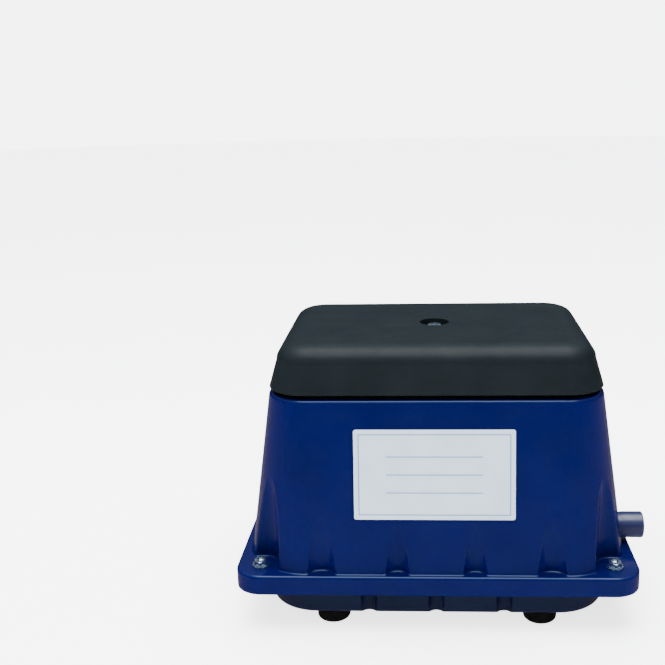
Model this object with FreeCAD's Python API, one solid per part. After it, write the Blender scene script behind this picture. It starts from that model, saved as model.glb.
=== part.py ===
import FreeCAD, Part
import math
import os

# Electromagnetic linear air pump for ponds and aquariums: a drafted casting on a flanged base, a
# moulded filter cover above it, a ribbed air tank below it, and the moving-magnet compressor inside.
# Millimetres. +X runs along the pump towards the outlet, -Y is the labelled front, +Z is up.
# The origin is on the floor at the centre of the four feet.

# ---- Casing, seen from outside ----
flange_length = 268.0
flange_width = 196.0
flange_corner = 18.0
flange_top = 39.0
flange_plate = 3.0
lip_height = 13.0
lip_wall = 3.2
lip_edge_round = 2.0
end_ledge = 6.4
side_ledge = 3.5
casing_taper = 16.5
casing_base_corner = 43.6
casing_wall = 3.0
rim_round = 3.0
foot_round = 1.5
arch_round = 2.5

# ---- Flutes and bolt pockets cut upright into the drafted casing ----
pocket_radius = 14.0
pocket_draft = 0.045
core_pin_extra = 5.0
outer_flute_x = 75.5
outer_flute_radius = 10.6
outer_flute_depth = 6.2
inner_flute_x = 25.5
inner_flute_radius = 8.4
inner_flute_depth = 5.5
flute_draft = 0.01

# ---- Corner bolts ----
bolt_end_inset = 16.5
bolt_side_inset = 15.5
bolt_diameter = 5.0
bolt_across_flats = 8.0
bolt_head_height = 3.0
bolt_dish_depth = 1.0
bolt_dish_radius = 2.7
bolt_dish_draft = 0.6
bolt_reach = 14.0
plain_washer_diameter = 10.4
plain_washer_thick = 0.7
lock_washer_diameter = 11.4
lock_washer_thick = 0.8
lock_washer_teeth = 10

# ---- Filter deck at the top of the casing ----
deck_depth = 8.6
deck_plate = 3.0
deck_rib = 1.0
deck_slot_length = 24.0
deck_slot_width = 6.0
deck_slot_pitch = 26.0
screw_boss_radius = 7.0
screw_boss_rise = 14.0
filter_end_margin = 23.3
filter_side_margin = 20.2
filter_thick = 9.4
filter_corner = 12.0
filter_hole_radius = 9.0

# ---- Filter cover ----
overall_height = 186.4
cover_rise = 32.8
cover_air_gap = 2.8
cover_overhang = -0.2
cover_corner = 25.5
cover_skirt_rise = 19.2
cover_skirt_draft = 5.6
cover_crown_inset = 20.0
cover_wall = 2.6
cover_edge_round = 0.8
recess_radius = 10.3
recess_depth = 6.0
recess_wall = 2.4
cover_post_radius = 5.0
cover_post_end_inset = 14.3
cover_post_side_inset = 14.2
cover_post_top_rise = 1.0
cover_rest_gap = 0.3
cover_pad_radius = 6.5
cover_pad_height = 3.6
cover_screw_diameter = 5.0
cover_screw_head_radius = 5.2
cover_screw_head_height = 3.2
cover_screw_reach = 36.0
cross_slot_length = 6.4
cross_slot_width = 1.3
cross_slot_depth = 1.8
cover_washer_radius = 6.4
cover_washer_thick = 1.2

# ---- Air tank below the flange ----
foot_height = 9.0
foot_radius = 11.2
foot_round_radius = 2.5
foot_end_inset = 43.5
foot_side_inset = 12.7
tank_end_inset = 21.0
tank_side_inset = 7.3
tank_corner = 33.0
tank_wall = 3.0
tank_edge_round = 3.0
tank_rim_plate = 4.0
rim_gap = 0.6
groove_pitch = 44.8
groove_width = 10.5
groove_depth = 4.5
tank_gasket_thick = 1.0
tank_plate_thick = 2.0
foot_screw_diameter = 5.0
foot_screw_head_radius = 4.4
foot_screw_head_height = 3.0
foot_screw_recess = 4.6
foot_screw_length = 15.0
foot_boss_radius = 6.5

# ---- Outlet ----
outlet_y = -40.0
outlet_lift = 1.8
outlet_reach = 17.5
outlet_radius = 9.0
outlet_bore_radius = 6.5
outlet_end_round = 1.0
outlet_shoulder_gap = 1.2
outlet_leg_radius = 8.7
outlet_leg_gap = 1.6
outlet_ear_gap = 2.0
outlet_ear_radius = 5.0
outlet_ear_thick = 4.0
outlet_screw_diameter = 4.0
outlet_screw_head_radius = 3.6
outlet_screw_head_height = 2.6
outlet_seal_thick = 1.0
outlet_wall_gap = 0.3

# ---- Cable inlet in the back wall ----
gland_x = -50.0
gland_z = 62.0
gland_radius = 8.0
gland_bore_radius = 3.6
gland_hex_flats = 20.0
gland_hex_thick = 5.0
gland_nose = 9.0
gland_nut_thick = 4.5
gland_nut_flats = 21.0
gland_boss_radius = 13.0
gland_boss_proud = 4.3
gland_seat_depth = 12.0

# ---- Blank label on the front wall ----
label_width = 104.5
label_height = 59.4
label_thick = 0.4
label_middle_x = -1.0
label_low_z = 76.0
label_corner = 1.5

# ---- Compressor: frame, magnets, coils ----
head_floor_gap = 1.0
mount_x = 47.0
mount_y = 36.0
mount_radius = 8.0
mount_height = 10.0
mount_cup_wall = 2.4
mount_cup_height = 3.0
mount_screw_diameter = 4.0
mount_screw_head_radius = 3.6
mount_screw_head_height = 2.4
mount_screw_reach = 12.0
frame_plate = 4.0
frame_end_x = 58.0
frame_end_thick = 6.0
frame_end_corner = 6.0
frame_base_half_width = 54.0
piston_bore_radius = 31.0
core_half_length = 42.0
core_stack = 34.0
core_back = 12.0
core_leg_reach = 34.0
core_centre_leg = 18.0
core_outer_leg = 9.0
pole_face_y = 8.0
pillar_x = 35.0
pillar_half = 5.0
core_screw_diameter = 4.0
core_screw_head_radius = 3.5
core_screw_head_height = 3.0
core_screw_reach = 12.0
bobbin_wall = 1.6
bobbin_clearance = 0.3
bobbin_flange_thick = 1.5
bobbin_flange_rise = 15.5
winding_build = 13.5
winding_gap = 0.1
carrier_half_length = 46.0
carrier_half_thick = 5.0
carrier_half_height = 18.0
magnet_x = 20.0
magnet_half_length = 10.0
magnet_half_thick = 6.5
magnet_half_height = 15.0
shaft_radius = 4.0
shaft_thread_radius = 3.0
shaft_end_x = 79.0
shaft_bore_clearance = 0.05

# ---- Diaphragms and their clamp plates ----
diaphragm_rim_width = 7.0
head_border = 2.0
diaphragm_rim_thick = 2.5
diaphragm_dish = 4.0
diaphragm_web_thick = 1.8
clamp_radius = 17.0
clamp_plate_thick = 2.0
shaft_nut_flats = 8.0
shaft_nut_thick = 4.0

# ---- Valve heads ----
head_length = 35.0
chamber_length = 20.0
valve_wall = 4.0
divider = 6.0
chest_side_wall = 10.0
chest_end_wall = 5.0
valve_inset = 17.0
valve_offset_out = -18.0
valve_hole_radius = 6.0
intake_window_half = 15.0
intake_window_length = 8.0
head_screw_inset = 6.0
head_screw_diameter = 4.0
head_screw_hole_gap = 0.1
head_screw_head_radius = 3.5
head_screw_head_height = 2.4
head_gasket_thick = 0.8
head_cover_thick = 2.2
port_rise = 14.0
port_u = 29.5
spigot_radius = 5.5
spigot_bore_radius = 4.0
spigot_length = 10.0

# ---- Valve flaps ----
flap_thick = 0.9
flap_half_width = 8.5
flap_above_hole = 10.5
flap_below_hole = 8.0
flap_wall_gap = 0.1
bead_radius = 1.2
bead_half_width = 11.5
bead_clearance = 0.08
cheek_inner = 9.2
cheek_outer = 12.5
cheek_half_height = 2.8
keeper_depth = 3.2
keeper_bridge = 1.8

# ---- Hoses from the heads down to the tank ----
hose_radius = 7.5
hose_bend = 12.0
hose_reach = 22.0
tank_spigot_height = 12.0
clip_width = 5.0
clip_thick = 0.8

# ---- Terminal block ----
terminal_x = -14.0
terminal_y = 69.0
terminal_length = 34.0
terminal_width = 15.0
terminal_height = 12.0
terminal_ways = 3
terminal_step = 4.0
terminal_screw_radius = 1.7
terminal_screw_depth = 5.0

V = FreeCAD.Vector
UP = V(0, 0, 1)
ALONG = V(1, 0, 0)
ACROSS = V(0, 1, 0)
SIDES = (1, -1)
CORNERS = [(1, 1), (-1, 1), (-1, -1), (1, -1)]
FAR = 400.0
THREAD_CLEARANCE = 0.05

# ---- Levels and places worked out from the sizes above ----
casing_top = overall_height - cover_rise
flange_under = flange_top - flange_plate
plate_under = flange_under - tank_plate_thick
rim_top = plate_under - tank_gasket_thick
lip_bottom = flange_top - lip_height
bolt_x = flange_length / 2 - bolt_end_inset
bolt_y = flange_width / 2 - bolt_side_inset
base_half_length = flange_length / 2 - end_ledge
base_half_width = flange_width / 2 - side_ledge
deck_top = casing_top - deck_depth
tank_half_length = flange_length / 2 - tank_end_inset
tank_half_width = flange_width / 2 - tank_side_inset
foot_x = tank_half_length - foot_end_inset
foot_y = tank_half_width - foot_side_inset
cover_low = casing_top + cover_air_gap
cover_skirt_top = cover_low + cover_skirt_rise
recess_floor = overall_height - recess_depth
diaphragm_rim_radius = piston_bore_radius + diaphragm_rim_width
frame_end_half = diaphragm_rim_radius + head_border
frame_low = flange_under + mount_height
frame_top = frame_low + frame_plate
axis_z = frame_top + head_floor_gap + frame_end_half
frame_face_x = frame_end_x + frame_end_thick
core_low = axis_z - core_stack / 2
core_back_y = pole_face_y + core_leg_reach
pillar_y = core_back_y + core_back / 2
head_back_x = frame_face_x + head_length
valve_wall_x = frame_face_x + chamber_length
chest_x = valve_wall_x + valve_wall
port_x = frame_face_x + port_u
chest_half_width = frame_end_half - chest_side_wall
chest_half_height = frame_end_half - chest_end_wall
valve_offset_in = piston_bore_radius - valve_inset
head_screw_offset = frame_end_half - head_screw_inset
port_z = axis_z - chest_half_height + port_rise
head_side_y = -frame_end_half
hose_y = head_side_y - hose_reach


def casing_section(z, inset=0.0):
    """Outline of the drafted wall at a height, moved inwards by inset."""
    share = (z - flange_top) / (casing_top - flange_top)
    shrink = casing_taper * share + inset
    return (base_half_length - shrink, base_half_width - shrink, casing_base_corner - shrink, z)


# ---- Places that follow the drafted wall ----
tray_half_length = casing_section(deck_top, casing_wall)[0]
tray_half_width = casing_section(deck_top, casing_wall)[1]
filter_length = 2 * (tray_half_length - filter_end_margin)
filter_width = 2 * (tray_half_width - filter_side_margin)
cover_post_x = tray_half_length - cover_post_end_inset
cover_post_y = tray_half_width - cover_post_side_inset
outlet_z = flange_top + outlet_radius + outlet_lift
outlet_leg_x = casing_section(outlet_z, casing_wall)[0] - outlet_leg_radius - outlet_leg_gap
outlet_shoulder_x = casing_section(outlet_z - outlet_radius)[0] + outlet_shoulder_gap
outlet_end_x = casing_section(outlet_z)[0] + outlet_reach
outlet_ear_offset = outlet_leg_radius + outlet_ear_radius + outlet_ear_gap
gland_boss_face = casing_section(gland_z)[1] + gland_boss_proud


def outline(half_x, half_y, radius, z, x=0.0, y=0.0):
    """Closed rounded rectangle, flat at height z."""
    arcs = []
    for quarter, (side_x, side_y) in enumerate(CORNERS):
        centre = V(x + side_x * (half_x - radius), y + side_y * (half_y - radius), z)
        start = math.pi / 2 * quarter
        circle = Part.Circle(centre, UP, radius)
        arcs.append(Part.ArcOfCircle(circle, start, start + math.pi / 2).toShape())
    edges = []
    for arc, following in zip(arcs, arcs[1:] + arcs[:1]):
        edges.append(arc)
        edges.append(Part.makeLine(arc.Vertexes[-1].Point, following.Vertexes[0].Point))
    return Part.Wire(edges)


def prism(half_x, half_y, radius, low, high, x=0.0, y=0.0):
    """Upright rounded-rectangle block between two heights."""
    return Part.Face(outline(half_x, half_y, radius, low, x, y)).extrude(V(0, 0, high - low))


def loft(sections, ruled=True):
    """Solid through rounded rectangles given as (half_x, half_y, radius, z)."""
    return Part.makeLoft([outline(*section) for section in sections], True, ruled)


def block(x0, x1, y0, y1, z0, z1):
    """Box between two corners, whichever way round they are given."""
    low = V(min(x0, x1), min(y0, y1), min(z0, z1))
    return Part.makeBox(abs(x1 - x0), abs(y1 - y0), abs(z1 - z0), low)


def rod(radius, start, direction, length):
    """Cylinder from a point along a direction."""
    return Part.makeCylinder(radius, length, start, direction)


def ring(outer, inner, start, direction, length):
    """Tube from a point along a direction."""
    return rod(outer, start, direction, length).cut(rod(inner, start, direction, length))


def hexagon(across_flats, start, direction, length):
    """Hexagonal bar from a point along a direction."""
    corner = across_flats / math.sqrt(3)
    points = []
    for step in range(7):
        angle = math.radians(60 * step + 30)
        points.append(V(corner * math.cos(angle), corner * math.sin(angle), 0))
    bar = Part.Face(Part.makePolygon(points)).extrude(V(0, 0, length))
    bar.Placement = FreeCAD.Placement(start, FreeCAD.Rotation(UP, direction))
    return bar


def cut_all(shape, tools):
    for tool in tools:
        shape = shape.cut(tool)
    return shape


def fuse_all(shapes):
    shape = shapes[0]
    for other in shapes[1:]:
        shape = shape.fuse(other)
    return shape.removeSplitter()


def turned(shape, side):
    """The same piece at the right end, or half a turn round Z for the left end."""
    if side > 0:
        return shape
    copy = shape.copy()
    copy.rotate(V(0, 0, 0), UP, 180)
    return copy


def mirrored(shape, side):
    """The same piece at the right end, or its mirror image for the left end."""
    if side > 0:
        return shape
    return shape.mirror(V(0, 0, 0), ALONG)


def edges_at(shape, height):
    """Edges that lie flat at one height."""
    found = []
    for edge in shape.Edges:
        box = edge.BoundBox
        if abs(box.ZMin - height) < 1e-3 and abs(box.ZMax - height) < 1e-3:
            found.append(edge)
    return found


# ---- Casing ----
def wall_front_y(z):
    """Where the front wall's outer face stands at a height."""
    return -casing_section(z)[1]


def wall_lean():
    """Angle of the drafted wall from the upright, in degrees."""
    return math.degrees(math.atan(casing_taper / (casing_top - flange_top)))


def core_pin(radius, draft, x, y):
    """Upright cone that has this radius at the flange and narrows upwards, so that the die draws."""
    low = radius + draft * flange_top
    height = casing_top + core_pin_extra
    return Part.makeCone(low, low - draft * height, height, V(x, y, 0), UP)


def casing_cuts(grow=0.0):
    """Core pins for the bolt pockets and flutes; grow fattens them for the inner wall."""
    cuts = []
    for side_x, side_y in CORNERS:
        cuts.append(core_pin(pocket_radius + grow, pocket_draft, side_x * bolt_x, side_y * bolt_y))
    flutes = [
        (outer_flute_x, outer_flute_radius, outer_flute_depth),
        (inner_flute_x, inner_flute_radius, inner_flute_depth),
    ]
    for x, radius, depth in flutes:
        for side_x, side_y in CORNERS:
            y = side_y * (base_half_width - depth + radius)
            cuts.append(core_pin(radius + grow, flute_draft, side_x * x, y))
    return cuts


def casing_block():
    """Outside form of the casting, still solid, with its rounded edges."""
    walls = loft([casing_section(flange_under), casing_section(casing_top)])
    walls = cut_all(walls, casing_cuts())
    arches = []
    for edge in walls.Edges:
        box = edge.BoundBox
        if box.ZMin < flange_under + 1 and flange_top < box.ZMax < casing_top - 1:
            arches.append(edge)
    walls = walls.makeFillet(arch_round, arches)
    walls = walls.makeFillet(rim_round, edges_at(walls, casing_top))
    flange = prism(flange_length / 2, flange_width / 2, flange_corner, lip_bottom, flange_top)
    flange = flange.makeFillet(lip_edge_round, edges_at(flange, flange_top))
    whole = walls.fuse(flange)
    join = []
    for edge in edges_at(whole, flange_top):
        box = edge.BoundBox
        if box.XMax < base_half_length + 1 and box.XMin > -base_half_length - 1:
            if box.YMax < base_half_width + 1 and box.YMin > -base_half_width - 1:
                join.append(edge)
    return whole.makeFillet(foot_round, join)


def deck_slots():
    """Air slots through the filter deck, in two rows each side of the screw boss."""
    slots = []
    low = deck_top - deck_plate - 1
    for row in (-1, 1):
        for column in (-2, -1, 1, 2):
            x = column * deck_slot_pitch + (-1 if column > 0 else 1) * deck_slot_pitch / 4
            y = row * deck_slot_pitch * 0.8
            half_x = deck_slot_width / 2
            half_y = deck_slot_length / 2
            slots.append(prism(half_x, half_y, half_x * 0.95, low, deck_top + 1, x, y))
    return slots


def deck_ribs():
    """Low ribs that hold the filter pad off the deck."""
    ribs = []
    for side in SIDES:
        y = side * (filter_width / 2 - 6)
        half = filter_length / 2 - 8
        ribs.append(block(-half, half, y - 1.5, y + 1.5, deck_top - 0.5, deck_top + deck_rib))
    return ribs


def upper_housing():
    whole = casing_block()
    under_deck = deck_top - deck_plate
    inset = casing_wall
    cavity = loft([casing_section(flange_under - 1, inset), casing_section(under_deck, inset)])
    cavity = cut_all(cavity, casing_cuts(casing_wall))
    whole = whole.cut(cavity)
    tray = loft([casing_section(deck_top, inset), casing_section(casing_top + 1, inset)])
    whole = whole.cut(tray)
    half_x = flange_length / 2 - lip_wall
    half_y = flange_width / 2 - lip_wall
    skirt = prism(half_x, half_y, flange_corner - lip_wall, lip_bottom - 1, flange_under)
    whole = whole.cut(skirt)
    adds = [rod(screw_boss_radius, V(0, 0, under_deck), UP, deck_plate + screw_boss_rise)]
    adds += deck_ribs()
    gland_back = gland_boss_face - gland_seat_depth
    seat = rod(gland_boss_radius, V(gland_x, gland_back, gland_z), ACROSS, gland_boss_face - gland_back)
    adds.append(seat)
    whole = fuse_all([whole] + adds)
    cuts = deck_slots()
    reach = cover_screw_diameter / 2 + THREAD_CLEARANCE
    cuts.append(rod(reach, V(0, 0, recess_floor - cover_screw_reach - 2), UP, FAR))
    cuts.append(rod(gland_radius + THREAD_CLEARANCE, V(gland_x, gland_back - 9, gland_z), ACROSS, 60))
    relief = V(gland_x, gland_back - 25, gland_z)
    cuts.append(rod(gland_boss_radius + 3, relief, ACROSS, 25))
    hole = outlet_radius + outlet_wall_gap
    cuts.append(rod(hole, V(outlet_leg_x, outlet_y, outlet_z), ALONG, 60))
    for side_x, side_y in CORNERS:
        start = V(side_x * bolt_x, side_y * bolt_y, lip_bottom)
        cuts.append(rod(bolt_diameter / 2 + 0.3, start, UP, flange_top))
    return cut_all(whole, cuts)


# ---- Fasteners at the corners ----
def corner_stack(make):
    """A group of four copies of one piece, one at each corner bolt."""
    return Part.makeCompound([make(V(x * bolt_x, y * bolt_y, flange_top)) for x, y in CORNERS])


def plain_washer(seat):
    hole = bolt_diameter / 2 + 0.2
    return ring(plain_washer_diameter / 2, hole, seat, UP, plain_washer_thick)


def lock_washer(seat):
    """External-tooth lock washer."""
    seat = seat + V(0, 0, plain_washer_thick)
    hole = bolt_diameter / 2 + 0.2
    body = ring(lock_washer_diameter / 2, hole, seat, UP, lock_washer_thick)
    notches = []
    for tooth in range(lock_washer_teeth):
        angle = 2 * math.pi * tooth / lock_washer_teeth
        out = V(math.cos(angle), math.sin(angle), 0) * (lock_washer_diameter / 2)
        notches.append(rod(1.0, seat + out, UP, lock_washer_thick))
    return cut_all(body, notches)


def corner_bolt(seat):
    """Hexagon bolt with a dished head."""
    seat = seat + V(0, 0, plain_washer_thick + lock_washer_thick)
    head = hexagon(bolt_across_flats, seat, UP, bolt_head_height)
    top = seat + V(0, 0, bolt_head_height)
    bevel = Part.makeCone(
        bolt_across_flats / 2 + bolt_head_height,
        bolt_across_flats / 2 - 0.3,
        bolt_head_height + 0.3,
        seat,
        UP,
    )
    head = head.common(bevel)
    low = top - V(0, 0, bolt_dish_depth)
    dish = Part.makeCone(bolt_dish_radius - bolt_dish_draft, bolt_dish_radius, bolt_dish_depth, low, UP)
    shank = rod(bolt_diameter / 2, seat - V(0, 0, bolt_reach), UP, bolt_reach)
    return head.cut(dish).fuse(shank).removeSplitter()


# ---- Tank ----
def tank_grooves(inset=0.0):
    """Upright half-round grooves in the tank's long sides."""
    grooves = []
    radius = (groove_width ** 2 / 4 + groove_depth ** 2) / (2 * groove_depth)
    for side in SIDES:
        for step in (-1, 0, 1):
            y = side * (tank_half_width - groove_depth + radius)
            grooves.append(rod(radius + inset, V(step * groove_pitch, y, 0), UP, rim_top - tank_rim_plate))
    return grooves


def lower_tank():
    wall = tank_wall
    body = prism(tank_half_length, tank_half_width, tank_corner, foot_height, rim_top)
    body = body.makeFillet(tank_edge_round, edges_at(body, foot_height))
    body = cut_all(body, tank_grooves())
    half_x = flange_length / 2 - lip_wall - rim_gap
    half_y = flange_width / 2 - lip_wall - rim_gap
    corner = flange_corner - lip_wall - rim_gap
    rim = prism(half_x, half_y, corner, rim_top - tank_rim_plate, rim_top)
    inner = prism(
        tank_half_length - wall, tank_half_width - wall, tank_corner - wall, foot_height + wall, rim_top
    )
    inner = cut_all(inner, tank_grooves(wall))
    shell = fuse_all([body, rim]).cut(inner)
    bosses = []
    for side_x, side_y in CORNERS:
        seat = V(side_x * bolt_x, side_y * bolt_y, lip_bottom + 1)
        bosses.append(rod(8.0, seat, UP, rim_top - lip_bottom - 1))
        foot = V(side_x * foot_x, side_y * foot_y, foot_height + 1)
        bosses.append(rod(foot_boss_radius, foot, UP, foot_screw_length - 1))
    shell = fuse_all([shell] + bosses)
    holes = []
    for side_x, side_y in CORNERS:
        bolt = V(side_x * bolt_x, side_y * bolt_y, 0)
        holes.append(rod(bolt_diameter / 2 + THREAD_CLEARANCE, bolt, UP, FAR))
        foot = V(side_x * foot_x, side_y * foot_y, 0)
        depth = foot_height + foot_screw_length - 3
        holes.append(rod(foot_screw_diameter / 2 + THREAD_CLEARANCE, foot, UP, depth))
    return cut_all(shell, holes)


def joint_sheet(low, high):
    """Flat sheet that fills the flange's lip, with the corner bolt holes."""
    half_x = flange_length / 2 - lip_wall - rim_gap
    half_y = flange_width / 2 - lip_wall - rim_gap
    sheet = prism(half_x, half_y, flange_corner - lip_wall - rim_gap, low, high)
    holes = []
    for side_x, side_y in CORNERS:
        holes.append(rod(bolt_diameter / 2 + 0.3, V(side_x * bolt_x, side_y * bolt_y, low), UP, FAR))
    return cut_all(sheet, holes)


def tank_gasket():
    wall = tank_wall
    inner = prism(tank_half_length - wall, tank_half_width - wall, tank_corner - wall, 0, FAR)
    inner = cut_all(inner, tank_grooves(wall))
    return joint_sheet(rim_top, plate_under).cut(inner)


def hose_places():
    """Where each head's hose comes down on the tank plate."""
    return [V(side * port_x, side * hose_y, flange_under) for side in SIDES]


def mount_places():
    return [V(x * mount_x, y * mount_y, flange_under) for x, y in CORNERS]


def tank_plate():
    """Plate that closes the tank and carries the compressor's rubber mounts."""
    plate = joint_sheet(plate_under, flange_under)
    adds = []
    for place in mount_places():
        cup = mount_radius + 0.1
        adds.append(ring(cup + mount_cup_wall, cup, place, UP, mount_cup_height))
    for place in hose_places():
        adds.append(rod(spigot_radius, place, UP, tank_spigot_height))
    plate = fuse_all([plate] + adds)
    cuts = []
    for place in hose_places():
        cuts.append(rod(spigot_bore_radius, place - V(0, 0, 9), UP, FAR))
    leg = V(outlet_leg_x, outlet_y, 0)
    cuts.append(rod(outlet_bore_radius, leg, UP, FAR))
    for side in SIDES:
        ear = leg + V(0, side * outlet_ear_offset, 0)
        cuts.append(rod(outlet_screw_diameter / 2 + THREAD_CLEARANCE, ear, UP, FAR))
    return cut_all(plate, cuts)


def rubber_feet():
    feet = []
    for side_x, side_y in CORNERS:
        place = V(side_x * foot_x, side_y * foot_y, 0)
        foot = rod(foot_radius, place, UP, foot_height)
        foot = foot.makeFillet(foot_round_radius, edges_at(foot, 0.0))
        foot = foot.cut(rod(foot_screw_diameter / 2 + 0.1, place, UP, foot_height))
        foot = foot.cut(rod(foot_screw_head_radius + 0.6, place, UP, foot_screw_recess))
        feet.append(foot)
    return Part.makeCompound(feet)


def foot_screws():
    screws = []
    for side_x, side_y in CORNERS:
        place = V(side_x * foot_x, side_y * foot_y, foot_screw_recess)
        head = rod(foot_screw_head_radius, place, -UP, foot_screw_head_height)
        shank = rod(foot_screw_diameter / 2, place, UP, foot_screw_length)
        screws.append(head.fuse(shank).removeSplitter())
    return Part.makeCompound(screws)


# ---- Outlet ----
def outlet_pipe():
    """Cast elbow: a flanged leg on the tank plate that turns out through the casing's end wall, and
    steps up outside it to the spigot that takes the hose."""
    low = flange_under + outlet_seal_thick
    leg_base = V(outlet_leg_x, outlet_y, low)
    corner = V(outlet_leg_x, outlet_y, outlet_z)
    parts = [
        rod(outlet_leg_radius, leg_base, UP, outlet_z - low),
        Part.makeSphere(outlet_leg_radius, corner),
        rod(outlet_leg_radius, corner, ALONG, outlet_shoulder_x - outlet_leg_x),
    ]
    shoulder = V(outlet_shoulder_x, outlet_y, outlet_z)
    spigot = rod(outlet_radius, shoulder, ALONG, outlet_end_x - outlet_shoulder_x)
    rims = [e for e in spigot.Edges if e.BoundBox.XMin > outlet_end_x - 0.01]
    parts.append(spigot.makeFillet(outlet_end_round, rims))
    for side in SIDES:
        ear = leg_base + V(0, side * outlet_ear_offset, 0)
        parts.append(rod(outlet_ear_radius, ear, UP, outlet_ear_thick))
        far_y = outlet_y + side * outlet_ear_offset
        half = outlet_ear_radius
        parts.append(block(ear.x - half, ear.x + half, outlet_y, far_y, low, low + outlet_ear_thick))
    elbow = fuse_all(parts)
    bores = [
        rod(outlet_bore_radius, leg_base, UP, outlet_z - low),
        Part.makeSphere(outlet_bore_radius, corner),
        rod(outlet_bore_radius, corner, ALONG, FAR),
    ]
    for side in SIDES:
        hole = outlet_screw_diameter / 2 + 0.2
        bores.append(rod(hole, leg_base + V(0, side * outlet_ear_offset, 0), UP, outlet_ear_thick))
    return cut_all(elbow, bores)


def outlet_seal():
    place = V(outlet_leg_x, outlet_y, flange_under)
    return ring(outlet_leg_radius - 0.4, outlet_bore_radius, place, UP, outlet_seal_thick)


def outlet_screws():
    screws = []
    top = flange_under + outlet_seal_thick + outlet_ear_thick
    for side in SIDES:
        seat = V(outlet_leg_x, outlet_y + side * outlet_ear_offset, top)
        head = rod(outlet_screw_head_radius, seat, UP, outlet_screw_head_height)
        shank = rod(outlet_screw_diameter / 2, seat, -UP, top - plate_under)
        screws.append(head.fuse(shank).removeSplitter())
    return Part.makeCompound(screws)


# ---- Cable inlet ----
def cable_gland():
    """Threaded cable gland with its hexagon outside the boss and its bore open for the lead."""
    face = V(gland_x, gland_boss_face, gland_z)
    stub = gland_boss_face - inner_gland_face() + gland_nut_thick + 2
    parts = [
        hexagon(gland_hex_flats, face, ACROSS, gland_hex_thick),
        rod(gland_radius, face, -ACROSS, stub),
    ]
    nose = rod(gland_radius, face, ACROSS, gland_hex_thick + gland_nose)
    end = gland_boss_face + gland_hex_thick + gland_nose
    rims = [e for e in nose.Edges if e.BoundBox.YMin > end - 0.01]
    parts.append(nose.makeFillet(3.0, rims))
    gland = fuse_all(parts)
    return gland.cut(rod(gland_bore_radius, face - ACROSS * 60, ACROSS, 120))


def inner_gland_face():
    """Y of the boss's flat inner face, where the gland's nut seats."""
    return gland_boss_face - gland_seat_depth


def gland_nut():
    seat = V(gland_x, inner_gland_face(), gland_z)
    nut = hexagon(gland_nut_flats, seat, -ACROSS, gland_nut_thick)
    return nut.cut(rod(gland_radius + THREAD_CLEARANCE, seat, -ACROSS, gland_nut_thick))


# ---- Label ----
def blank_label():
    """Thin blank plate lying on the drafted front wall."""
    plate = prism(label_width / 2, label_height / 2, label_corner, 0, label_thick)
    tilt = FreeCAD.Rotation(ALONG, 90 - wall_lean())
    low = V(label_middle_x, wall_front_y(label_low_z), label_low_z)
    slope = V(0, math.sin(math.radians(wall_lean())), math.cos(math.radians(wall_lean())))
    plate.Placement = FreeCAD.Placement(low + slope * (label_height / 2), tilt)
    return plate


# ---- Filter, cover and cover screw ----
def filter_pad():
    low = deck_top + deck_rib
    pad = prism(filter_length / 2, filter_width / 2, filter_corner, low, low + filter_thick)
    return pad.cut(rod(filter_hole_radius, V(0, 0, 0), UP, FAR))


def cover_form(inset=0.0):
    """Outside form of the cover, or its hollow when inset by the wall."""
    half_x = casing_section(casing_top)[0] + cover_overhang - inset
    half_y = casing_section(casing_top)[1] + cover_overhang - inset
    corner = cover_corner - inset
    draft = cover_skirt_draft
    crown = overall_height - inset - cover_skirt_top
    sections = []
    for step in range(5):
        angle = math.pi / 2 * step / 4
        shrink = draft + (cover_crown_inset - draft) * (1 - math.cos(angle))
        height = cover_skirt_top + crown * math.sin(angle)
        radius = max(corner - shrink * 0.8, 2.0)
        sections.append((half_x - shrink, half_y - shrink, radius, height))
    low = cover_low if inset == 0 else cover_low - 1
    skirt = loft([(half_x, half_y, corner, low), sections[0][:2] + (sections[0][2], cover_skirt_top)])
    crown_part = loft(sections, ruled=False)
    return skirt.fuse(crown_part).removeSplitter()


def post_places():
    return [(x * cover_post_x, y * cover_post_y) for x, y in CORNERS]


def filter_cover():
    outside = cover_form()
    outside = outside.makeFillet(cover_edge_round, edges_at(outside, cover_low))
    shell = outside.cut(cover_form(cover_wall))
    adds = []
    low = deck_top + cover_pad_height + cover_rest_gap
    post_rise = cover_skirt_top + cover_post_top_rise - low
    for x, y in post_places():
        adds.append(rod(cover_post_radius, V(x, y, low), UP, post_rise))
    sleeve_low = deck_top + screw_boss_rise + cover_rest_gap
    adds.append(rod(recess_radius + recess_wall, V(0, 0, recess_floor - recess_wall), UP, recess_depth))
    adds.append(rod(screw_boss_radius, V(0, 0, sleeve_low), UP, recess_floor - sleeve_low))
    shell = fuse_all([shell] + adds)
    shell = shell.cut(rod(recess_radius, V(0, 0, recess_floor), UP, FAR))
    return shell.cut(rod(cover_screw_diameter / 2 + 0.1, V(0, 0, sleeve_low - 1), UP, FAR))


def cover_pads():
    pads = []
    for x, y in post_places():
        pads.append(rod(cover_pad_radius, V(x, y, deck_top), UP, cover_pad_height))
    return Part.makeCompound(pads)


def cover_washer():
    hole = cover_screw_diameter / 2 + 0.1
    return ring(cover_washer_radius, hole, V(0, 0, recess_floor), UP, cover_washer_thick)


def cover_screw():
    seat = V(0, 0, recess_floor + cover_washer_thick + 0.05)
    head = rod(cover_screw_head_radius, seat, UP, cover_screw_head_height)
    top = seat + V(0, 0, cover_screw_head_height)
    rims = [e for e in edges_at(head, top.z)]
    head = head.makeFillet(1.2, rims)
    half = cross_slot_length / 2
    thin = cross_slot_width / 2
    slot_low = top.z - cross_slot_depth
    head = head.cut(block(-half, half, -thin, thin, slot_low, top.z))
    head = head.cut(block(-thin, thin, -half, half, slot_low, top.z))
    shank = rod(cover_screw_diameter / 2, seat, -UP, cover_screw_reach)
    return head.fuse(shank).removeSplitter()


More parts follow.
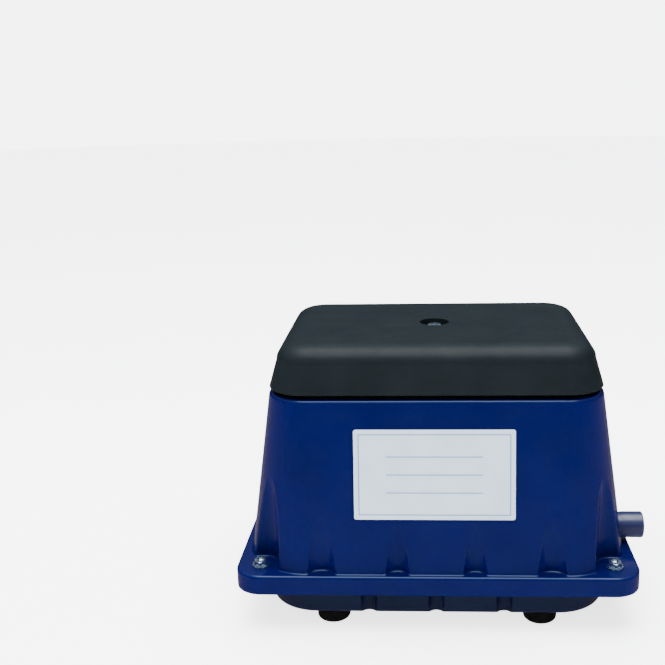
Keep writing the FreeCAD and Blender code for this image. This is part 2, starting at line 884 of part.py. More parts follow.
# ---- Compressor frame and magnets ----
def pump_frame():
    """Cast frame: a base, two bored end walls and four pillars under the iron cores."""
    parts = [prism(frame_face_x, frame_base_half_width, 6, frame_low, frame_top)]
    for side in SIDES:
        x0 = side * frame_end_x
        x1 = side * frame_face_x
        half = frame_end_half
        parts.append(block(x0, x1, -half, half, frame_low, axis_z + half))
    for x, y in CORNERS:
        centre_x = x * pillar_x
        centre_y = y * pillar_y
        size = pillar_half
        left, right = centre_x - size, centre_x + size
        parts.append(block(left, right, centre_y - size, centre_y + size, frame_low, core_low))
    frame = fuse_all(parts)
    cuts = [rod(piston_bore_radius, V(-FAR / 2, 0, axis_z), ALONG, FAR)]
    for place in mount_places():
        cuts.append(rod(mount_screw_diameter / 2 + 0.2, place, UP, frame_top - place.z))
    for x, y in CORNERS:
        seat = V(x * pillar_x, y * pillar_y, core_low - core_screw_reach)
        cuts.append(rod(core_screw_diameter / 2 + THREAD_CLEARANCE, seat, UP, core_screw_reach))
        hole = V(0, x * head_screw_offset, axis_z + y * head_screw_offset)
        cuts.append(rod(head_screw_diameter / 2 + THREAD_CLEARANCE, hole - ALONG * FAR / 2, ALONG, FAR))
    return cut_all(frame, cuts)


def vibration_mounts():
    mounts = []
    for place in mount_places():
        hole = mount_screw_diameter / 2 + THREAD_CLEARANCE
        mounts.append(ring(mount_radius, hole, place, UP, mount_height))
    return Part.makeCompound(mounts)


def mount_screws():
    screws = []
    for place in mount_places():
        seat = V(place.x, place.y, frame_top)
        head = rod(mount_screw_head_radius, seat, UP, mount_screw_head_height)
        shank = rod(mount_screw_diameter / 2, seat, -UP, mount_screw_reach)
        screws.append(head.fuse(shank).removeSplitter())
    return Part.makeCompound(screws)


def core(side):
    """Laminated E-shaped iron core, legs pointing at the magnets."""
    half = core_half_length
    high = axis_z + core_stack / 2
    back = core_back_y + core_back
    iron = block(-half, half, pole_face_y, back, core_low, high)
    middle = core_centre_leg / 2
    outer = core_half_length - core_outer_leg
    for way in SIDES:
        iron = iron.cut(block(way * middle, way * outer, pole_face_y, core_back_y, core_low, high))
        hole = V(way * pillar_x, pillar_y, core_low)
        iron = iron.cut(rod(core_screw_diameter / 2 + 0.2, hole, UP, core_stack))
    return turned(iron, side)


def core_screws():
    screws = []
    for x, y in CORNERS:
        seat = V(x * pillar_x, y * pillar_y, core_low + core_stack)
        head = rod(core_screw_head_radius, seat, UP, core_screw_head_height)
        shank = rod(core_screw_diameter / 2, seat, -UP, core_stack + core_screw_reach)
        screws.append(head.fuse(shank).removeSplitter())
    return Part.makeCompound(screws)


def bobbin_block(grow, y0, y1, radius):
    """Rounded block round the centre leg, its section grown outwards from the leg."""
    half_x = core_centre_leg / 2 + grow
    half_z = core_stack / 2 + grow
    shape = prism(half_x, half_z, radius, 0, y1 - y0)
    shape.rotate(V(0, 0, 0), ALONG, -90)
    shape.translate(V(0, y0, axis_z))
    return shape


def bobbin(side):
    """Moulded coil former round the centre leg."""
    y0 = pole_face_y + bobbin_flange_thick
    y1 = core_back_y - bobbin_clearance
    tube = bobbin_block(bobbin_clearance + bobbin_wall, y0, y1, 1.5)
    flange = bobbin_flange_thick
    low = bobbin_block(bobbin_flange_rise, y0, y0 + flange, 3.0)
    high = bobbin_block(bobbin_flange_rise, y1 - flange, y1, 3.0)
    former = fuse_all([tube, low, high])
    former = former.cut(bobbin_block(bobbin_clearance, y0 - 1, y1 + 1, 0.2))
    return turned(former, side)


def winding(side):
    """Enamelled copper coil on its former."""
    y0 = pole_face_y + 2 * bobbin_flange_thick + winding_gap
    y1 = core_back_y - bobbin_clearance - bobbin_flange_thick - winding_gap
    start = bobbin_clearance + bobbin_wall
    coil = bobbin_block(winding_build, y0, y1, 6.0)
    coil = coil.cut(bobbin_block(start + winding_gap, y0 - 1, y1 + 1, 1.5))
    return turned(coil, side)


def shuttle():
    """Magnet carrier with a stepped shaft at each end."""
    carrier = prism(carrier_half_length, carrier_half_thick, 2, -carrier_half_height, carrier_half_height)
    carrier.translate(V(0, 0, axis_z))
    parts = [carrier]
    shoulder = frame_face_x + diaphragm_dish - clamp_plate_thick
    for side in SIDES:
        way = ALONG * side
        start = V(side * (carrier_half_length - 2), 0, axis_z)
        parts.append(rod(shaft_radius, start, way, shoulder - carrier_half_length + 2))
        start = V(side * (shoulder - 1), 0, axis_z)
        parts.append(rod(shaft_thread_radius, start, way, shaft_end_x - shoulder + 1))
    whole = fuse_all(parts)
    for side in SIDES:
        whole = whole.cut(magnet_plate(side, 0.1))
    return whole


def magnet_plate(side, grow=0.0):
    centre = side * magnet_x
    half_x = magnet_half_length + grow
    half_y = magnet_half_thick + grow
    half_z = magnet_half_height + grow
    return block(centre - half_x, centre + half_x, -half_y, half_y, axis_z - half_z, axis_z + half_z)


def magnets():
    return Part.makeCompound([magnet_plate(side) for side in SIDES])


# ---- Diaphragms ----
def spun(profile):
    """Solid of revolution about the compressor's axis, from (x, radius) points at the right end."""
    points = [V(x, 0, axis_z + radius) for x, radius in profile]
    face = Part.Face(Part.makePolygon(points + points[:1]))
    return face.revolve(V(0, 0, axis_z), ALONG, 360)


def diaphragm(side):
    """Dished rubber disc, its rim in the head's seat and its middle between the clamp plates."""
    rim0 = frame_face_x
    rim1 = rim0 + diaphragm_rim_thick
    mid0 = frame_face_x + diaphragm_dish
    mid1 = mid0 + diaphragm_rim_thick
    hole = shaft_thread_radius + shaft_bore_clearance
    outer = diaphragm_rim_radius
    lean = (diaphragm_rim_thick - diaphragm_web_thick) / 2
    profile = [
        (rim0, outer), (rim0, piston_bore_radius), (mid0 + lean, clamp_radius),
        (mid0, clamp_radius - 1), (mid0, hole), (mid1, hole), (mid1, clamp_radius - 1),
        (mid1 - lean, clamp_radius), (rim1, piston_bore_radius), (rim1, outer),
    ]
    return mirrored(spun(profile), side)


def diaphragm_plates():
    """Metal plates each side of both diaphragms."""
    plates = []
    hole = shaft_thread_radius + shaft_bore_clearance
    inner_face = frame_face_x + diaphragm_dish
    outer_face = inner_face + diaphragm_rim_thick
    for side in SIDES:
        way = ALONG * side
        inner = V(side * inner_face, 0, axis_z)
        outer = V(side * outer_face, 0, axis_z)
        plates.append(ring(clamp_radius - 1, hole, inner, -way, clamp_plate_thick))
        plates.append(ring(clamp_radius - 1, hole, outer, way, clamp_plate_thick))
    return Part.makeCompound(plates)


def shaft_nuts():
    nuts = []
    face = frame_face_x + diaphragm_dish + diaphragm_rim_thick + clamp_plate_thick
    for side in SIDES:
        seat = V(side * face, 0, axis_z)
        way = ALONG * side
        nut = hexagon(shaft_nut_flats, seat, way, shaft_nut_thick)
        nuts.append(nut.cut(rod(shaft_thread_radius + shaft_bore_clearance, seat, way, shaft_nut_thick)))
    return Part.makeCompound(nuts)


# ---- Valve heads ----
def head_slab(x0, x1):
    """Square slab with rounded corners across the compressor's axis, at the right end."""
    slab = prism(frame_end_half, frame_end_half, frame_end_corner, 0, x1 - x0)
    slab.rotate(V(0, 0, 0), ACROSS, 90)
    slab.translate(V(x0, 0, axis_z))
    return slab


def head_screw_places():
    return [V(0, y * head_screw_offset, axis_z + z * head_screw_offset) for y, z in CORNERS]


def chests():
    """The two rear compartments: intake above the divider, exhaust below it."""
    half = chest_half_width
    edge = divider / 2
    high = axis_z + chest_half_height
    low = axis_z - chest_half_height
    upper = block(chest_x, head_back_x, -half, half, axis_z + edge, high)
    lower = block(chest_x, head_back_x, -half, half, low, axis_z - edge)
    return [upper, lower]


def head_screw_bores(x0, x1):
    reach = head_screw_diameter / 2 + head_screw_hole_gap
    return [rod(reach, place + ALONG * x0, ALONG, x1 - x0) for place in head_screw_places()]


def head(side):
    """Valve head: pumping chamber, valve wall, intake and exhaust compartments and hose spigot."""
    body = head_slab(frame_face_x, head_back_x)
    spigot = rod(spigot_radius, V(port_x, head_side_y + 1, port_z), -ACROSS, spigot_length + 1)
    body = fuse_all([body, spigot])
    centre = V(frame_face_x, 0, axis_z)
    cuts = [
        rod(diaphragm_rim_radius + 0.1, centre, ALONG, diaphragm_rim_thick),
        rod(piston_bore_radius, centre, ALONG, chamber_length),
    ]
    for offset in (valve_offset_in, valve_offset_out):
        hole = V(valve_wall_x - 1, 0, axis_z + offset)
        cuts.append(rod(valve_hole_radius, hole, ALONG, valve_wall + 2))
    cuts += chests()
    middle = (chest_x + head_back_x) / 2
    half = intake_window_length / 2
    wide = intake_window_half
    cuts.append(block(middle - half, middle + half, -wide, wide, axis_z + 10, axis_z + FAR))
    cuts.append(rod(spigot_bore_radius, V(port_x, -chest_half_width + 2, port_z), -ACROSS, FAR))
    cuts += head_screw_bores(frame_face_x, head_back_x)
    return turned(cut_all(body, cuts), side)


def head_gaskets():
    gasket = head_slab(head_back_x, head_back_x + head_gasket_thick)
    shifted = [chest.translated(ALONG * head_gasket_thick) for chest in chests()]
    gasket = cut_all(gasket, shifted + head_screw_bores(head_back_x, head_back_x + head_gasket_thick))
    return Part.makeCompound([turned(gasket, side) for side in SIDES])


def head_cover(side):
    x0 = head_back_x + head_gasket_thick
    x1 = x0 + head_cover_thick
    plate = head_slab(x0, x1)
    rims = [e for e in plate.Edges if e.BoundBox.XMin > x1 - 0.01]
    plate = plate.makeFillet(0.8, rims)
    return turned(cut_all(plate, head_screw_bores(x0, x1)), side)


def head_screws():
    screws = []
    seat_x = head_back_x + head_gasket_thick + head_cover_thick
    for side in SIDES:
        for place in head_screw_places():
            head_part = rod(head_screw_head_radius, place + ALONG * seat_x, ALONG, head_screw_head_height)
            shank = rod(head_screw_diameter / 2, place + ALONG * frame_end_x, ALONG, seat_x - frame_end_x)
            screws.append(turned(head_part.fuse(shank).removeSplitter(), side))
    return Part.makeCompound(screws)


# ---- Valve flaps and their keepers ----
def flap_pivot(kind):
    """Centre of a flap's bead at the right end; the exhaust flap is behind the valve wall."""
    lift = bead_radius + flap_wall_gap
    if kind == "intake":
        return V(valve_wall_x - lift, 0, axis_z + valve_offset_in + flap_above_hole)
    return V(chest_x + lift, 0, axis_z + valve_offset_out + flap_above_hole)


def valve_flap(kind, side):
    """Moulded rubber leaf hanging from a round bead."""
    pivot = flap_pivot(kind)
    wall_way = 1 if kind == "intake" else -1
    bead = rod(bead_radius, pivot - ACROSS * bead_half_width, ACROSS, 2 * bead_half_width)
    near = pivot.x + wall_way * bead_radius
    low = pivot.z - flap_above_hole - flap_below_hole
    wide = flap_half_width
    leaf = block(near - wall_way * flap_thick, near, -wide, wide, low, pivot.z)
    return turned(fuse_all([bead, leaf]), side)


def keeper(kind, side):
    """Holder that traps both ends of a flap's bead against the valve wall."""
    pivot = flap_pivot(kind)
    wall_way = 1 if kind == "intake" else -1
    wall_x = pivot.x + wall_way * (bead_radius + flap_wall_gap)
    far_x = wall_x - wall_way * keeper_depth
    parts = []
    tall = cheek_half_height
    for way in SIDES:
        y0 = way * cheek_inner
        y1 = way * cheek_outer
        parts.append(block(wall_x, far_x, y0, y1, pivot.z - tall, pivot.z + tall))
    base = pivot.z + tall - keeper_bridge * 0.6
    parts.append(block(wall_x, far_x, -cheek_outer, cheek_outer, base, pivot.z + tall))
    holder = fuse_all(parts)
    start = pivot - ACROSS * (bead_half_width + 0.1)
    bore = rod(bead_radius + bead_clearance, start, ACROSS, 2 * bead_half_width + 0.2)
    return turned(holder.cut(bore), side)


def flap_keepers():
    kinds = ("intake", "exhaust")
    return Part.makeCompound([keeper(kind, side) for side in SIDES for kind in kinds])


# ---- Hoses and clips ----
def hose(side):
    """Bent rubber hose from the head's spigot down on to the tank plate's spigot."""
    start_y = head_side_y - 1.0
    bend_y = hose_y + hose_bend
    bend_z = port_z - hose_bend
    low_z = flange_under + 1.0
    shapes = []
    for radius in (hose_radius, spigot_radius):
        level = rod(radius, V(port_x, start_y, port_z), -ACROSS, start_y - bend_y)
        circle = Part.Face(Part.Wire(Part.makeCircle(radius, V(port_x, bend_y, port_z), ACROSS)))
        elbow = circle.revolve(V(port_x, bend_y, bend_z), ALONG, 90)
        drop = rod(radius, V(port_x, hose_y, bend_z), -UP, bend_z - low_z)
        shapes.append(fuse_all([level, elbow, drop]))
    return turned(shapes[0].cut(shapes[1]), side)


def hose_clips():
    clips = []
    outer = hose_radius + clip_thick
    level = V(port_x, head_side_y - 2.5, port_z)
    drop = V(port_x, hose_y, flange_under + 3.0)
    for side in SIDES:
        for start, way in ((level, -ACROSS), (drop, UP)):
            clips.append(turned(ring(outer, hose_radius, start, way, clip_width), side))
    return Part.makeCompound(clips)


# ---- Terminal block ----
def terminal_ways_x():
    pitch = terminal_length / terminal_ways
    return [terminal_x + pitch * (way - (terminal_ways - 1) / 2) for way in range(terminal_ways)]


def terminal_block():
    low = flange_under
    half_x = terminal_length / 2
    half_y = terminal_width / 2
    body = prism(half_x, half_y, 1.5, low, low + terminal_height, terminal_x, terminal_y)
    top = low + terminal_height
    for way in SIDES:
        y = terminal_y + way * half_y
        step = block(terminal_x - half_x, terminal_x + half_x, y, y - way * 3, top - terminal_step, top)
        body = body.cut(step)
    for x in terminal_ways_x():
        centre = V(x, terminal_y, top - terminal_screw_depth)
        body = body.cut(rod(terminal_screw_radius + 0.1, centre, UP, FAR))
        wire = V(x, terminal_y - half_y - 1, low + 3.5)
        body = body.cut(rod(1.8, wire, ACROSS, terminal_width + 2))
    return body


def terminal_screws():
    screws = []
    top = flange_under + terminal_height
    for x in terminal_ways_x():
        centre = V(x, terminal_y, top - terminal_screw_depth)
        screw = rod(terminal_screw_radius, centre, UP, terminal_screw_depth - 1.0)
        slot_z = top - 1.6
        screw = screw.cut(block(x - 2, x + 2, terminal_y - 0.3, terminal_y + 0.3, slot_z, top))
        screws.append(screw)
    return Part.makeCompound(screws)


def build_parts():
    """Every node's shape by name."""
    parts = {
        "upper_housing": upper_housing(),
        "lower_tank": lower_tank(),
        "tank_gasket": tank_gasket(),
        "tank_plate": tank_plate(),
        "filter_cover": filter_cover(),
        "filter_pad": filter_pad(),
        "cover_pads": cover_pads(),
        "cover_washer": cover_washer(),
        "cover_screw": cover_screw(),
        "corner_bolts": corner_stack(corner_bolt),
        "lock_washers": corner_stack(lock_washer),
        "plain_washers": corner_stack(plain_washer),
        "rubber_feet": rubber_feet(),
        "foot_screws": foot_screws(),
        "outlet_pipe": outlet_pipe(),
        "outlet_seal": outlet_seal(),
        "outlet_screws": outlet_screws(),
        "cable_gland": cable_gland(),
        "gland_nut": gland_nut(),
        "blank_label": blank_label(),
        "pump_frame": pump_frame(),
        "vibration_mounts": vibration_mounts(),
        "mount_screws": mount_screws(),
        "core_screws": core_screws(),
        "shuttle": shuttle(),
        "magnets": magnets(),
        "diaphragm_plates": diaphragm_plates(),
        "shaft_nuts": shaft_nuts(),
        "head_gaskets": head_gaskets(),
        "head_screws": head_screws(),
        "flap_keepers": flap_keepers(),
        "hose_clips": hose_clips(),
        "terminal_block": terminal_block(),
        "terminal_screws": terminal_screws(),
    }
    for name, side in (("back", 1), ("front", -1)):
        parts["core_" + name] = core(side)
        parts["bobbin_" + name] = bobbin(side)
        parts["winding_" + name] = winding(side)
    for name, side in (("right", 1), ("left", -1)):
        parts["diaphragm_" + name] = diaphragm(side)
        parts["head_" + name] = head(side)
        parts["head_cover_" + name] = head_cover(side)
        parts["hose_" + name] = hose(side)
        parts["intake_flap_" + name] = valve_flap("intake", side)
        parts["exhaust_flap_" + name] = valve_flap("exhaust", side)
    return parts


os.makedirs("parts", exist_ok=True)
for node, shape in build_parts().items():
    print(node, len(shape.Solids), round(shape.Volume), shape.isValid())
    shape.exportStep("parts/" + node + ".step")
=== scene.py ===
# %% [markdown]
# # Air pump
# The pump is a dark blue enamelled casting on a wide flange, with a satin black filter cover on top
# and a blue air tank underneath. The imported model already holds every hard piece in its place, so
# this lesson loads it, gives each piece its finish, and models the soft pieces that plain solids
# can't show.
# %% Load the frame
import math
import bmesh
import bpy
from mathutils import Matrix, Vector


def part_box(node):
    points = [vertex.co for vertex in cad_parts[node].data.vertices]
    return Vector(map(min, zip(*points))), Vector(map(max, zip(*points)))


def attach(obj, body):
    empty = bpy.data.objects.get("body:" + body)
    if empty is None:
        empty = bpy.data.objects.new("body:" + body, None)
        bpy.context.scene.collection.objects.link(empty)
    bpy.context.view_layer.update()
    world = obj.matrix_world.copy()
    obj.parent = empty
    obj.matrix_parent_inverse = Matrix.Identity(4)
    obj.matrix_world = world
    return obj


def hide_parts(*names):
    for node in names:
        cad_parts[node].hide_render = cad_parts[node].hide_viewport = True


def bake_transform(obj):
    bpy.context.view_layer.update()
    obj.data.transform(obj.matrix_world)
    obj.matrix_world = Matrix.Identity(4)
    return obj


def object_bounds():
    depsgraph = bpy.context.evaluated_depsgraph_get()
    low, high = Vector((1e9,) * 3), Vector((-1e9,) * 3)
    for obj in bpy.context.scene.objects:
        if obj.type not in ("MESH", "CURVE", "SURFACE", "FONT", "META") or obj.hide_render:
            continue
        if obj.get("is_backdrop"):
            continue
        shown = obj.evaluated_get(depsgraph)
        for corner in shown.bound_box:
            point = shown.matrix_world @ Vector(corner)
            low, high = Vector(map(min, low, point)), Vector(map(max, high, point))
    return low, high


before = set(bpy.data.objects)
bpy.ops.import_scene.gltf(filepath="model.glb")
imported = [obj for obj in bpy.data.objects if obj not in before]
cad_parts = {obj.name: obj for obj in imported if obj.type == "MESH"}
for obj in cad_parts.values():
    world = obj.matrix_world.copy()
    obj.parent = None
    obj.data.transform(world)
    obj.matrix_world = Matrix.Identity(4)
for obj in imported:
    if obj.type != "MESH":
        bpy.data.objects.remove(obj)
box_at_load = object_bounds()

MM = 0.001
size_at_load = box_at_load[1] - box_at_load[0]
print("size in mm:", [round(side / MM, 1) for side in size_at_load])

# %% [markdown]
# ## Camera
# The pump is seen from in front and a little above, and stands to the right of the view's middle.
# Turning the camera aside would make the level edges of the flange run apart, so a small lens shift
# shares the work.
# %% Place the camera
CAMERA_PLACE = Vector((-4.4, -666.2, 349.7)) * MM
CAMERA_DOWN = math.radians(14.37)
CAMERA_LEFT = math.radians(3.01)
CAMERA_ROLL = math.radians(-1.11)
CAMERA_LENS = 52.21
CAMERA_SHIFT = -0.07
NEAREST_SEEN = 10 * MM

camera = bpy.data.objects.new("camera", bpy.data.cameras.new("camera"))
camera.data.lens = CAMERA_LENS
camera.data.shift_x = CAMERA_SHIFT
camera.data.clip_start = NEAREST_SEEN
aim = Matrix.Rotation(CAMERA_LEFT, 4, "Z") @ Matrix.Rotation(math.pi / 2 - CAMERA_DOWN, 4, "X")
aim = aim @ Matrix.Rotation(CAMERA_ROLL, 4, "Z")
camera.matrix_world = Matrix.Translation(CAMERA_PLACE) @ aim
bpy.context.collection.objects.link(camera)
bpy.context.scene.camera = camera
print("camera", round(CAMERA_PLACE.length, 3), "m from the floor under the pump")

# %% [markdown]
# ## Studio
# Dark glossy enamel shows whatever stands in front of it, so the studio is white where the light
# comes from and dark on the camera's side. The big overhead box draws the soft bands along the
# rounded edges. The front box only fills in the colour: it is hidden from glossy rays, so it leaves
# no glare on the walls.
# %% Area lights
def area_light(name, place, target, size, power, glossy=True):
    """A square soft box at a place, facing a target, both in metres."""
    light = bpy.data.lights.new(name, "AREA")
    light.shape = "SQUARE"
    light.size = size
    light.energy = power
    holder = bpy.data.objects.new(name, light)
    facing = (Vector(target) - Vector(place)).to_track_quat("-Z", "Y")
    holder.matrix_world = Matrix.Translation(place) @ facing.to_matrix().to_4x4()
    holder.visible_glossy = glossy
    bpy.context.collection.objects.link(holder)
    return holder


PUMP_MIDDLE = (0, 0, 0.09)
area_light("overhead_box", (0.0, -0.08, 1.20), PUMP_MIDDLE, size=1.1, power=24)
area_light("left_box", (-1.30, 0.10, 0.70), PUMP_MIDDLE, size=0.6, power=7, glossy=False)
area_light("right_box", (1.35, 0.10, 0.60), PUMP_MIDDLE, size=0.5, power=4, glossy=False)
area_light("front_fill", (0.0, -1.50, 0.95), PUMP_MIDDLE, size=1.2, power=19, glossy=False)
print("area lights:", [light.name for light in bpy.data.lights])

# %% [markdown]
# A sun with a very wide disc is the light of a whole white ceiling. It whitens the floor evenly and
# leaves only a soft shadow close to the pump.
# %% Skylight
SKY_STRENGTH = 9.0
SKY_WIDTH = math.radians(70)
SKY_TILT = (math.radians(-12), math.radians(-6), 0)

skylight = bpy.data.objects.new("skylight", bpy.data.lights.new("skylight", "SUN"))
skylight.data.energy = SKY_STRENGTH
skylight.data.angle = SKY_WIDTH
skylight.rotation_euler = SKY_TILT
skylight.visible_glossy = False
bpy.context.collection.objects.link(skylight)
print(skylight.name, "comes from a disc", round(math.degrees(SKY_WIDTH)), "degrees wide")

# %% [markdown]
# The air round the pump has two faces. The camera sees it white, while the pump is lit and mirrored
# by a dimmer air that is dark at the level of the eye and brightens overhead.
# %% The air of the studio
WHITE_AIR = (0.97, 0.98, 1.0, 1)
WHITE_STRENGTH = 6.2
STRAIGHT_DOWN = -1.0
AIR_BANDS = (
    (0.00, (0.39, 0.31, 0.30)),
    (0.42, (0.33, 0.26, 0.25)),
    (0.49, (0.03, 0.03, 0.035)),
    (0.60, (0.03, 0.03, 0.035)),
    (0.70, (0.16, 0.17, 0.19)),
    (0.85, (0.55, 0.60, 0.66)),
    (1.00, (0.90, 0.95, 1.00)),
)

world = bpy.data.worlds.new("studio_air")
world.use_nodes = True
air = world.node_tree
white_air = air.nodes["Background"]
white_air.inputs["Color"].default_value = WHITE_AIR
white_air.inputs["Strength"].default_value = WHITE_STRENGTH
dim_air = air.nodes.new("ShaderNodeBackground")
direction = air.nodes.new("ShaderNodeTexCoord")
height = air.nodes.new("ShaderNodeSeparateXYZ")
level = air.nodes.new("ShaderNodeMapRange")
level.inputs["From Min"].default_value = STRAIGHT_DOWN
rise = air.nodes.new("ShaderNodeValToRGB")
while len(rise.color_ramp.elements) < len(AIR_BANDS):
    rise.color_ramp.elements.new(0.5)
for band, (place, colour) in zip(rise.color_ramp.elements, AIR_BANDS):
    band.position = place
    band.color = (*colour, 1)
print("the mirrored air has", len(rise.color_ramp.elements), "bands from the floor to overhead")

# %% [markdown]
# A Light Path node tells the camera's own rays from the rays that light and mirror the pump, and
# mixes the two airs by that.
# %% White for the camera, dim for the pump
seen = air.nodes.new("ShaderNodeLightPath")
which = air.nodes.new("ShaderNodeMixShader")
air.links.new(direction.outputs["Generated"], height.inputs["Vector"])
air.links.new(height.outputs["Z"], level.inputs["Value"])
air.links.new(level.outputs["Result"], rise.inputs["Fac"])
air.links.new(rise.outputs["Color"], dim_air.inputs["Color"])
air.links.new(seen.outputs["Is Camera Ray"], which.inputs["Fac"])
air.links.new(dim_air.outputs["Background"], which.inputs[1])
air.links.new(white_air.outputs["Background"], which.inputs[2])
air.links.new(which.outputs["Shader"], air.nodes["World Output"].inputs["Surface"])
bpy.context.scene.world = world
print("world", world.name, "has", len(air.nodes), "nodes")

# %% [markdown]
# ## Finishes
# Real finishes are never one flat colour. Each one here is built the same way: noise on Object
# coordinates shifts the colour a little, a second noise varies the roughness, and a bump gives the
# grain that the maker's process leaves. Object coordinates are in metres, so a scale of 1000 is a
# pattern of about 1 mm.
# %% Nodes and noise
def add_node(tree, kind, sockets=None, **settings):
    """Adds a shader node, sets its options, then sets its sockets by name."""
    made = tree.nodes.new("ShaderNode" + kind)
    for name, value in settings.items():
        setattr(made, name, value)
    for name, value in (sockets or {}).items():
        made.inputs[name].default_value = value
    return made


def object_space(tree, stretch=(1, 1, 1)):
    """Object coordinates through a Mapping node, which may stretch the pattern along an axis."""
    place = add_node(tree, "TexCoord")
    mapping = add_node(tree, "Mapping", {"Scale": stretch})
    tree.links.new(place.outputs["Object"], mapping.inputs["Vector"])
    return mapping.outputs["Vector"]


def noise(tree, scale, detail=3.0, stretch=(1, 1, 1)):
    """The Fac of a noise with this many features a metre."""
    made = add_node(tree, "TexNoise", {"Scale": scale, "Detail": detail})
    tree.links.new(object_space(tree, stretch), made.inputs["Vector"])
    return made.outputs["Fac"]


# %% [markdown]
# A pattern becomes a finish in three ways: a Map Range node turns it into roughness, a Color Ramp
# into colour, and Bump nodes, one on top of the other, into relief. Noise rarely leaves the middle
# of its range, so both ends of a run are put where it really begins and ends.
# %% From pattern to finish
NOISE_LOW = 0.3
NOISE_HIGH = 0.7


def graded(tree, source, low, high):
    """Stretches a noise between two values."""
    ends = {"From Min": NOISE_LOW, "From Max": NOISE_HIGH, "To Min": low, "To Max": high}
    made = add_node(tree, "MapRange", ends)
    tree.links.new(source, made.inputs["Value"])
    return made.outputs["Result"]


def coloured(tree, source, dark, light, low=NOISE_LOW, high=NOISE_HIGH):
    """Turns a pattern into a run between two colours."""
    ramp = add_node(tree, "ValToRGB")
    ramp.color_ramp.elements[0].position = low
    ramp.color_ramp.elements[0].color = (*dark, 1)
    ramp.color_ramp.elements[1].position = high
    ramp.color_ramp.elements[1].color = (*light, 1)
    tree.links.new(source, ramp.inputs["Fac"])
    return ramp.outputs["Color"]


def relief(tree, *layers):
    """Stacks bump layers, each a pattern and its height in metres, and returns the normal."""
    normal = None
    for source, height in layers:
        bump = add_node(tree, "Bump", {"Strength": 1.0, "Distance": height})
        tree.links.new(source, bump.inputs["Height"])
        if normal is not None:
            tree.links.new(normal, bump.inputs["Normal"])
        normal = bump.outputs["Normal"]
    return normal


# %% [markdown]
# One function makes every finish from these. Roughness gets a noise of its own, about three times
# finer than the colour's, so that dull spots and dark spots do not fall on each other.
# %% A finish for whole pieces
ROUGH_TO_PATCH = 3.1


def finish(name, dark, light, patch, rough, layers, metallic=0.0, **sockets):
    """A Principled material. patch is the colour noise's scale, rough its two roughness values, and
    layers is a function of the tree that returns the bump layers."""
    material = bpy.data.materials.new(name)
    material.use_nodes = True
    tree = material.node_tree
    shader = tree.nodes["Principled BSDF"]
    shader.inputs["Metallic"].default_value = metallic
    for socket, value in sockets.items():
        shader.inputs[socket.replace("_", " ")].default_value = value
    mottle = noise(tree, patch)
    tree.links.new(coloured(tree, mottle, dark, light), shader.inputs["Base Color"])
    dulling = noise(tree, patch * ROUGH_TO_PATCH)
    tree.links.new(graded(tree, dulling, *rough), shader.inputs["Roughness"])
    tree.links.new(relief(tree, *layers(tree)), shader.inputs["Normal"])
    return material


def dress(material, *names):
    """Gives whole nodes of the frame one material."""
    for name in names:
        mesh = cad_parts[name].data
        mesh.materials.clear()
        mesh.materials.append(material)
    print(material.name, "on", ", ".join(names))


# %% [markdown]
# ### Enamel on the castings
# The casting is sprayed with a thick blue enamel. It pulls smooth over the sand-blasted metal but
# keeps a faint orange peel about 2 mm across, which breaks up the edges of every reflection. A
# bluish specular tint keeps the highlights in the colour of the paint. The turned outlet's enamel
# is duller, with a stronger specular, and lighter in colour: painted light for the glare it
# catches.
# %% Blue enamel
ENAMEL_GLEAM = (0.50, 0.75, 1.0, 1.0)


def enamel_relief(tree):
    return [(noise(tree, 420, 2.0), 0.00005), (noise(tree, 2600, 2.0), 0.000010)]


casing_enamel = finish("casing_enamel", (0.0004, 0.0009, 0.031), (0.0006, 0.0013, 0.037), 22,
                       (0.13, 0.20), enamel_relief, Specular_IOR_Level=0.45,
                       Specular_Tint=ENAMEL_GLEAM)
# Its base colours are the enamel lightened: painted light for the glare on the outlet.
outlet_enamel_painted_light = finish("outlet_enamel_painted_light", (0.0030, 0.0060, 0.040), (0.0040, 0.0075, 0.046), 60,
                       (0.28, 0.36), enamel_relief, Specular_IOR_Level=0.8)
dress(casing_enamel, "upper_housing")
dress(outlet_enamel_painted_light, "outlet_pipe")

# %% [markdown]
# The tank sits low and out of the light. It has the same enamel as the casing, flatter and rougher,
# and its colour is darkened to nearly black: painted shade for the shadow under the flange.
# %% Tank enamel
def thin_enamel_relief(tree):
    return [(noise(tree, 700, 2.0), 0.000015), (noise(tree, 2600, 2.0), 0.000010)]


# Its base colours are the casing's blue darkened: painted shade for a tank out of the light.
tank_enamel_painted_shade = finish("tank_enamel_painted_shade", (0.0006, 0.0012, 0.014), (0.0009, 0.0017, 0.018), 22,
                     (0.38, 0.48), thin_enamel_relief, Specular_IOR_Level=0.35,
                     Specular_Tint=ENAMEL_GLEAM)
dress(tank_enamel_painted_shade, "lower_tank")

# %% [markdown]
# ### Moulded plastics
# The cover is a satin black moulding. Its mould was etched with a fine grain, so the surface is an
# even field of tiny bumps, and the highlight on it is broad and grey rather than sharp.
# %% Plastics
def moulded_grain(tree):
    return [(noise(tree, 3300, 3.0), 0.000030), (noise(tree, 90, 2.0), 0.00003)]


cover_plastic = finish("cover_plastic", (0.0034, 0.0056, 0.0070), (0.0046, 0.0072, 0.0088), 40,
                       (0.40, 0.48), moulded_grain, Specular_IOR_Level=0.12)
gland_plastic = finish("gland_plastic", (0.012, 0.012, 0.013), (0.020, 0.020, 0.021), 150,
                       (0.40, 0.52), moulded_grain)
former_plastic = finish("former_plastic", (0.62, 0.58, 0.47), (0.72, 0.69, 0.58), 120,
                        (0.35, 0.45), moulded_grain, Subsurface_Weight=0.05)
terminal_plastic = finish("terminal_plastic", (0.60, 0.57, 0.48), (0.68, 0.66, 0.57), 150,
                          (0.40, 0.50), moulded_grain)
dress(cover_plastic, "filter_cover")
dress(gland_plastic, "cable_gland", "gland_nut")
dress(former_plastic, "bobbin_front", "bobbin_back")
dress(terminal_plastic, "terminal_block")

